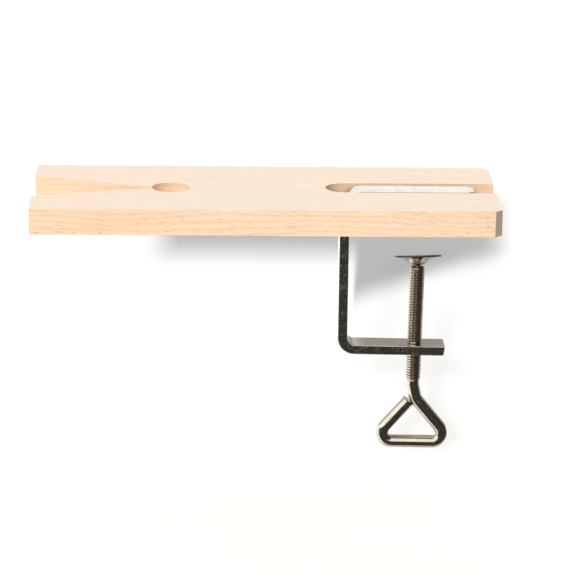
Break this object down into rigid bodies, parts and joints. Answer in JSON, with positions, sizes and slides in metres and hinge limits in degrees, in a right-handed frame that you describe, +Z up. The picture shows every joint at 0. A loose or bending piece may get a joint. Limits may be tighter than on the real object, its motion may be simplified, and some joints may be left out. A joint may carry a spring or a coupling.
{
  "type": "fretsaw table with bench clamp",
  "caption": "Flat beech sawing board with a V notch and round hole at one end, held to a bench edge by a screw clamp whose top arm lies in a slot.",
  "frame": {"origin": "on the board's underside, where the clamp screw's axis meets it", "axes": "+X along the board towards its slotted end, +Z up out of the board's top face, Y = 0 in the plane of the clamp"},
  "size_m": [0.25, 0.095, 0.1485],
  "materials": {
    "beech": "sanded raw beech",
    "nickel_bar": "bright nickel plate over a drawn bar",
    "nickel_screw": "bright nickel plate over a rolled thread",
    "nickel_pad": "satin nickel plate, pressed",
    "turned_steel": "turned steel"
  },
  "bodies": {
    "board": {"board": "beech"},
    "clamp_bracket": {"clamp_bracket": "nickel_bar"},
    "ball_end": {"ball_end": "turned_steel"},
    "clamp_screw": {"clamp_screw": "nickel_screw"},
    "swivel_pad": {"swivel_pad": "nickel_pad"}
  },
  "joints": [
    {"name": "clamp_lift", "type": "hinge", "parent": "board", "child": "clamp_bracket", "pos_m": [-0.0411, 0, 0.0109], "axis": [0, -1, 0], "range_deg": [0, 8]},
    {"name": "screw_travel", "type": "slide", "parent": "clamp_bracket", "child": "ball_end", "axis": [-0.014, 0, -0.9999], "range_m": [-0.013, 0.043]},
    {"name": "screw_turn", "type": "hinge", "parent": "ball_end", "child": "clamp_screw", "pos_m": [-0.00038, 0, -0.0273], "axis": [-0.014, 0, -0.9999], "range_deg": [-3121, 10321]},
    {"name": "pad_tilt", "type": "hinge", "parent": "ball_end", "child": "swivel_pad", "pos_m": [-0.00038, 0, -0.0273], "axis": [0.9876, 0.1564, -0.0138], "range_deg": [0, 30]}
  ],
  "couplings": [
    {"joint": "screw_turn", "follows": "screw_travel", "rad_per_m": 4188.8}
  ]
}
